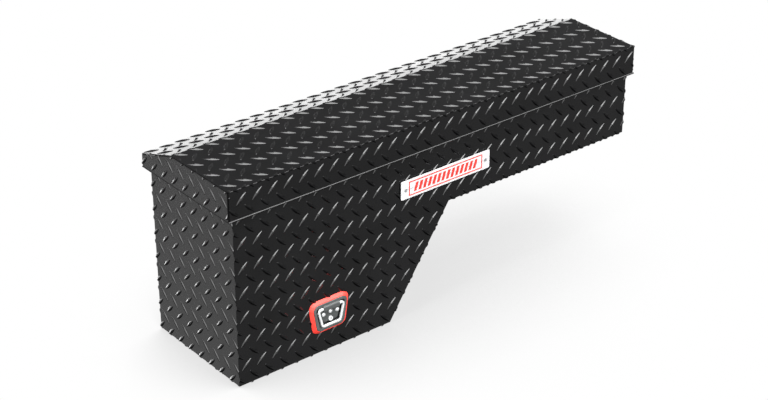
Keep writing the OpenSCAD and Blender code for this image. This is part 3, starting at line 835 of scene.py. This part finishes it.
# How far the print stands out of the badge's face and reaches into it
PRINT_OUT, PRINT_IN = 0.12 * MM, 0.1 * MM
# The border: half its width, its distance from the badge's long edges, and its line
BORDER_REACH, BORDER_GAP, BORDER_LINE = 84 * MM, 4 * MM, 2.2 * MM
# The slanted bars: how many, their width, spacing and lean, and their distance from the border's edge
SLANT_COUNT = 14
SLANT_WIDTH, SLANT_STEP, SLANT_LEAN, SLANT_GAP = 6.2 * MM, 10.4 * MM, 5 * MM, 5.5 * MM


def printed(mesh, corners):
    """A thin printed prism from four corners in X and Z."""
    front = [mesh.verts.new((x, badge_low.y - PRINT_OUT, z)) for x, z in corners]
    back = [mesh.verts.new((x, badge_low.y + PRINT_IN, z)) for x, z in corners]
    mesh.faces.new(front)
    mesh.faces.new(list(reversed(back)))
    for k in range(4):
        mesh.faces.new((front[k], back[k], back[(k + 1) % 4], front[(k + 1) % 4]))


def badge_print():
    """A plain red border and a row of slanted bars, printed on the white badge."""
    mesh = bmesh.new()
    middle = (badge_low.x + badge_high.x) / 2
    left, right = middle - BORDER_REACH, middle + BORDER_REACH
    low, high = badge_low.z + BORDER_GAP, badge_high.z - BORDER_GAP
    printed(mesh, rectangle(left, right, low, low + BORDER_LINE))
    printed(mesh, rectangle(left, right, high - BORDER_LINE, high))
    for x in (left, right - BORDER_LINE):
        printed(mesh, rectangle(x, x + BORDER_LINE, low + BORDER_LINE, high - BORDER_LINE))
    bottom, top = low + SLANT_GAP, high - SLANT_GAP
    first = middle - SLANT_STEP * (SLANT_COUNT - 1) / 2 - (SLANT_WIDTH + SLANT_LEAN) / 2
    for k in range(SLANT_COUNT):
        x = first + SLANT_STEP * k
        lean = x + SLANT_LEAN
        printed(mesh, [(x, bottom), (x + SLANT_WIDTH, bottom), (lean + SLANT_WIDTH, top), (lean, top)])
    bmesh.ops.recalc_face_normals(mesh, faces=mesh.faces)
    finish_mesh("badge_print", mesh, PRINT, "box")


badge_print()

# ---------------------------------------------------------------- stage, lights and camera

FLOOR_RADIUS, FLOOR_SIDES = 1.3, 64
FLOOR_DROP = 0.05 * MM
# How far the floor's painted shadow looks for the object, and how it turns openness into the brightness of
# its glow
FLOOR_REACH = 1.0
FLOOR_SAMPLES = 16
FLOOR_PAINTED_SHADE = {"From Min": 0.5, "From Max": 0.79, "To Min": 0.77, "To Max": 1.0}

# Light from all round, which fades out straight below between these heights of the direction
AMBIENT = 0.30
AMBIENT_FADE = (-0.85, -0.6)
# A dark band round the horizon: the share it takes away, its elevations and its edge's height
HORIZON = {"share": 0.75, "rise": (-15, 2), "edge": 0.07}
# Soft lights by direction: azimuth from +Y towards +X, elevation, radius (degrees) and strength
LOBES = (
    (-155, 11, 16, 3.0), (-175, 30, 13, 5.0), (-98, 18, 20, 5.2), (-39, -29, 24, 0.34), (-6, -20, 10, 5.0),
    (39, 29, 20, -0.14), (-38, 30, 12, 1.8)
)
# A soft light's rim and core, as shares of its radius
LOBE_RIM, LOBE_CORE = 1.4, 0.6
# A soft box overhead, by x / z and y / z of the direction (z at least this), and where it fades in
SOFTBOX = {
    "x": (-0.55, 1.05), "y": (-2.6, 0.18), "edge": 0.12, "least": 0.001, "fade": (0.05, 0.15),
    "strength": 10.2
}
# A bright strip low behind the object: azimuths, elevations, the edges of both (degrees), strength
STRIP = {"turn": (8, 50), "rise": (-14, -1), "turn_edge": 6, "rise_edge": 3, "strength": 3.1}

CAMERA_AZIMUTH = -38.856
CAMERA_ELEVATION = 28.524
CAMERA_DISTANCE = 3.387
CAMERA_AIM = Vector((-0.0614, -0.0321, 0.1918))
CAMERA_SENSOR = 36.0
CAMERA_LENS = 89.33


def blend(nodes, links, source, start, end):
    """A smooth step of a value from 0 at start to 1 at end."""
    step = nodes.new("ShaderNodeMapRange")
    step.interpolation_type = "SMOOTHSTEP"
    step.inputs["From Min"].default_value = start
    step.inputs["From Max"].default_value = end
    links.new(source, step.inputs["Value"])
    return step.outputs["Result"]


def arithmetic(nodes, links, operation, first, second):
    """A math node on two values, each of which may be a number."""
    node = nodes.new("ShaderNodeMath")
    node.operation = operation
    for socket, value in zip(node.inputs, (first, second)):
        if isinstance(value, (int, float)):
            socket.default_value = value
        else:
            links.new(value, socket)
    return node.outputs["Value"]


def product(nodes, links, *sources):
    """The product of several values."""
    result = sources[0]
    for source in sources[1:]:
        result = arithmetic(nodes, links, "MULTIPLY", result, source)
    return result


def window(nodes, links, value, low, high, edge):
    """1 between two limits, with a smooth edge about each."""
    return product(
        nodes, links, blend(nodes, links, value, low - edge, low + edge),
        blend(nodes, links, value, high + edge, high - edge)
    )


def camera_only(nodes, links, seen, hidden, output):
    """Shows the camera one shader and every other ray another."""
    path = nodes.new("ShaderNodeLightPath")
    mix = nodes.new("ShaderNodeMixShader")
    links.new(path.outputs["Is Camera Ray"], mix.inputs["Fac"])
    links.new(hidden, mix.inputs[1])
    links.new(seen, mix.inputs[2])
    links.new(mix.outputs["Shader"], output.inputs["Surface"])


def floor_painted_shadow():
    """White glow for the camera alone, with a painted shadow: darker where the object stands close over the
    floor.
    """
    material, nodes, links, shader = new_material("floor_painted_shadow")
    nodes.remove(shader)
    # painted shadow: ambient occlusion from the object darkens the floor's emitted white
    openness = nodes.new("ShaderNodeAmbientOcclusion")
    openness.samples = FLOOR_SAMPLES
    openness.inputs["Distance"].default_value = FLOOR_REACH
    painted_shade = nodes.new("ShaderNodeMapRange")
    for name, value in FLOOR_PAINTED_SHADE.items():
        painted_shade.inputs[name].default_value = value
    links.new(openness.outputs["AO"], painted_shade.inputs["Value"])
    glow = nodes.new("ShaderNodeEmission")
    links.new(painted_shade.outputs["Result"], glow.inputs["Color"])
    clear = nodes.new("ShaderNodeBsdfTransparent")
    output = nodes["Material Output"]
    camera_only(nodes, links, glow.outputs["Emission"], clear.outputs["BSDF"], output)
    return material


def floor():
    """The round white floor just below the object, with its painted shadow."""
    data = bpy.data.meshes.new("floor")
    mesh = bmesh.new()
    bmesh.ops.create_circle(mesh, cap_ends=True, radius=FLOOR_RADIUS, segments=FLOOR_SIDES)
    mesh.to_mesh(data)
    mesh.free()
    piece = bpy.data.objects.new("floor", data)
    piece.location = (0, 0, cad_low.z - FLOOR_DROP)
    scene.collection.objects.link(piece)
    piece.data.materials.append(floor_painted_shadow())


def direction(turn, rise):
    """A unit vector from an azimuth (from +Y towards +X) and an elevation in degrees."""
    a, e = math.radians(turn), math.radians(rise)
    return Vector((math.sin(a) * math.cos(e), math.cos(a) * math.cos(e), math.sin(e)))


def sines(angles):
    """Heights of a direction at elevations in degrees."""
    return [math.sin(math.radians(a)) for a in angles]


def lobe(nodes, links, ray, turn, rise, radius, strength):
    """A round light in one direction that fades smoothly to its edge."""
    towards = nodes.new("ShaderNodeVectorMath")
    towards.operation = "DOT_PRODUCT"
    towards.inputs[1].default_value = direction(turn, rise)
    links.new(ray, towards.inputs[0])
    rim, core = [math.cos(math.radians(radius * share)) for share in (LOBE_RIM, LOBE_CORE)]
    return product(nodes, links, blend(nodes, links, towards.outputs["Value"], rim, core), strength)


def softbox(nodes, links, x, y, z):
    """The overhead soft box, seen in the gloss of the lugs and the folds."""
    up = arithmetic(nodes, links, "MAXIMUM", z, SOFTBOX["least"])
    across = arithmetic(nodes, links, "DIVIDE", x, up)
    along = arithmetic(nodes, links, "DIVIDE", y, up)
    return product(
        nodes, links, window(nodes, links, across, *SOFTBOX["x"], SOFTBOX["edge"]),
        window(nodes, links, along, *SOFTBOX["y"], SOFTBOX["edge"]),
        blend(nodes, links, z, *SOFTBOX["fade"]), SOFTBOX["strength"]
    )


def strip(nodes, links, x, y, z):
    """The low strip behind the object, which the bevel mirrors to the camera."""
    turn = arithmetic(nodes, links, "ARCTAN2", x, y)
    turns = [math.radians(a) for a in STRIP["turn"]]
    return product(
        nodes, links, window(nodes, links, turn, *turns, math.radians(STRIP["turn_edge"])),
        window(nodes, links, z, *sines(STRIP["rise"]), *sines([STRIP["rise_edge"]])), STRIP["strength"]
    )


def studio_light(nodes, links):
    """The brightness of the studio by direction."""
    ray = nodes.new("ShaderNodeTexCoord").outputs["Generated"]
    split = nodes.new("ShaderNodeSeparateXYZ")
    links.new(ray, split.inputs["Vector"])
    x, y, z = split.outputs["X"], split.outputs["Y"], split.outputs["Z"]
    band = window(nodes, links, z, *sines(HORIZON["rise"]), HORIZON["edge"])
    parts = [
        product(nodes, links, blend(nodes, links, z, *AMBIENT_FADE), AMBIENT),
        product(nodes, links, band, -HORIZON["share"] * AMBIENT)
    ]
    parts += [lobe(nodes, links, ray, *numbers) for numbers in LOBES]
    parts += [softbox(nodes, links, x, y, z), strip(nodes, links, x, y, z)]
    total = parts[0]
    for part in parts[1:]:
        total = arithmetic(nodes, links, "ADD", total, part)
    return total


def world():
    """White to the camera; soft lights on a dim grey for the object and its gloss."""
    sky = bpy.data.worlds.new("studio")
    scene.world = sky
    sky.use_nodes = True
    nodes, links = sky.node_tree.nodes, sky.node_tree.links
    nodes.clear()
    white = nodes.new("ShaderNodeBackground")
    white.inputs["Color"].default_value = (1, 1, 1, 1)
    lit = nodes.new("ShaderNodeBackground")
    links.new(studio_light(nodes, links), lit.inputs["Color"])
    output = nodes.new("ShaderNodeOutputWorld")
    camera_only(nodes, links, white.outputs["Background"], lit.outputs["Background"], output)


def camera():
    """The camera at the photograph's viewing angle."""
    data = bpy.data.cameras.new("camera")
    data.sensor_width = CAMERA_SENSOR
    data.lens = CAMERA_LENS
    eye = bpy.data.objects.new("camera", data)
    back = direction(180 - CAMERA_AZIMUTH, CAMERA_ELEVATION)
    eye.location = CAMERA_AIM + back * CAMERA_DISTANCE
    eye.rotation_mode = "QUATERNION"
    eye.rotation_quaternion = (-back).to_track_quat("-Z", "Y")
    scene.collection.objects.link(eye)
    scene.camera = eye


floor()
world()
camera()
scene.view_settings.view_transform = "Standard"
